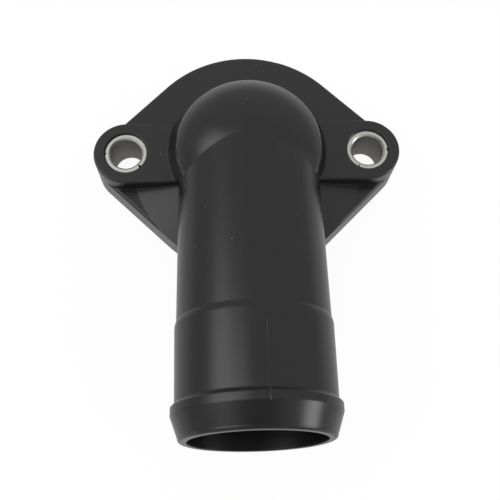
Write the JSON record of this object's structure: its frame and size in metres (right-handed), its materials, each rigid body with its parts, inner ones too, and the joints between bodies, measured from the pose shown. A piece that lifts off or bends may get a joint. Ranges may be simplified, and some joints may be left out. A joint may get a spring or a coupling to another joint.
{
  "type": "coolant flange",
  "caption": "Moulded plastic coolant outlet elbow with a bolt-on plate, steel compression sleeves, a face seal and a beaded stub for a hose.",
  "frame": {"origin": "centre of the mounting face, midway between the bolt axes", "axes": "+Z away from the engine along the bolts, X through both bolts, hose pipe towards -Y"},
  "size_m": [0.0684, 0.0908, 0.0359],
  "materials": {
    "moulded_body": "satin black glass-filled nylon with a fine moulded grain",
    "sleeve_steel": "bare rolled steel with turned ends",
    "seal_rubber": "smooth matte rubber"
  },
  "bodies": {
    "root": {"flange_body": "moulded_body", "sleeve_left": "sleeve_steel", "sleeve_right": "sleeve_steel", "seal_ring": "seal_rubber"}
  },
  "joints": []
}
